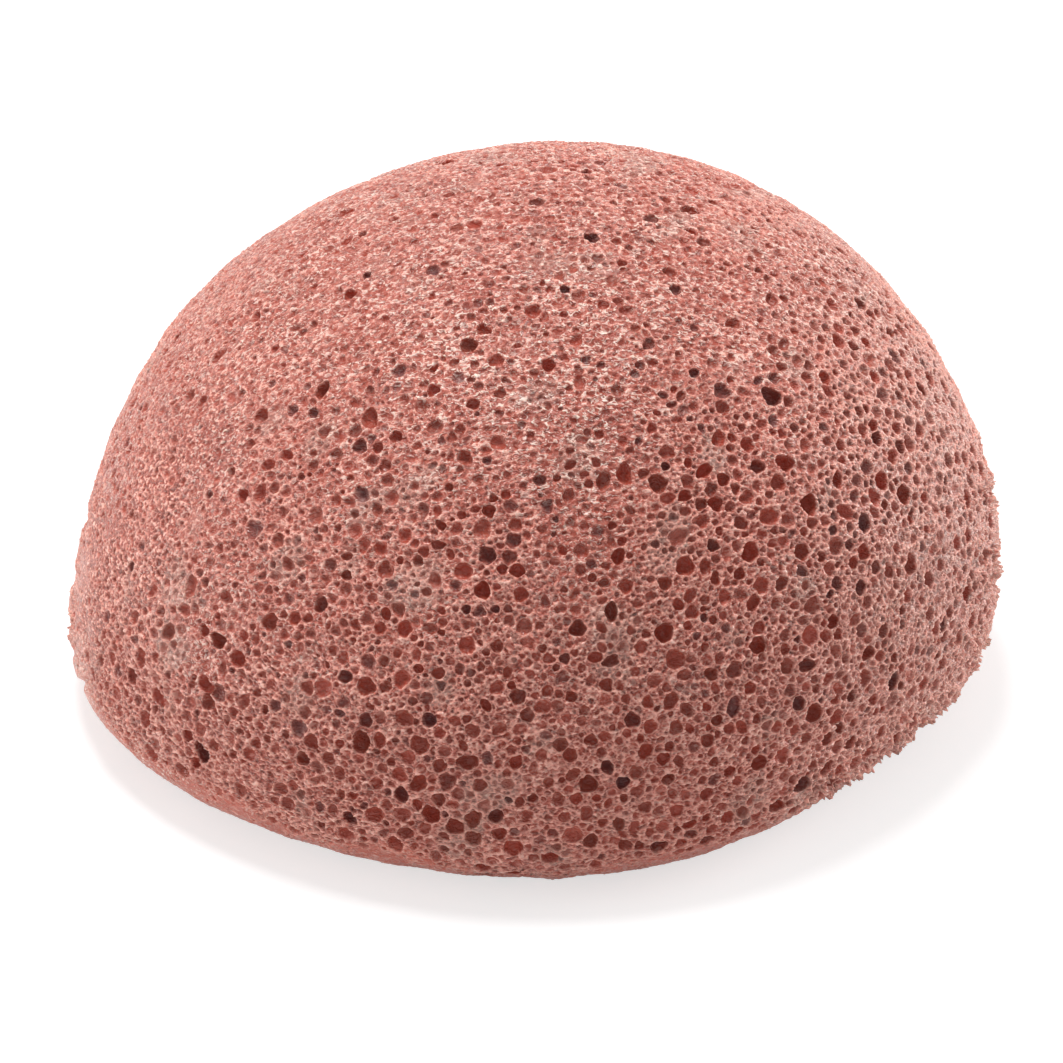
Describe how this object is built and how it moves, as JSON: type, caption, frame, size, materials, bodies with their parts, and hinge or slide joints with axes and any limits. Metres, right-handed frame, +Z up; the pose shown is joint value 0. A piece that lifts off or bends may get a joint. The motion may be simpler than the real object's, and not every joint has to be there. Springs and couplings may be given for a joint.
{
  "type": "konjac sponge",
  "caption": "Half-ball facial cleansing sponge of pink open-cell konjac foam, with a close-pored domed skin, a rolled rim and a flat base that it rests on.",
  "frame": {"origin": "centre of the flat base, in the plane that the sponge rests on", "axes": "+Z up through the crown, -Y towards the front, +X to the right seen from the front, the way the crown has slumped"},
  "size_m": [0.0802, 0.08, 0.0444],
  "materials": {
    "konjac_foam": "damp, pink clay-tinted konjac foam with open pores"
  },
  "bodies": {
    "root": {"dome_skin": "konjac_foam", "foam_core": "konjac_foam", "base_skin": "konjac_foam"}
  },
  "joints": []
}
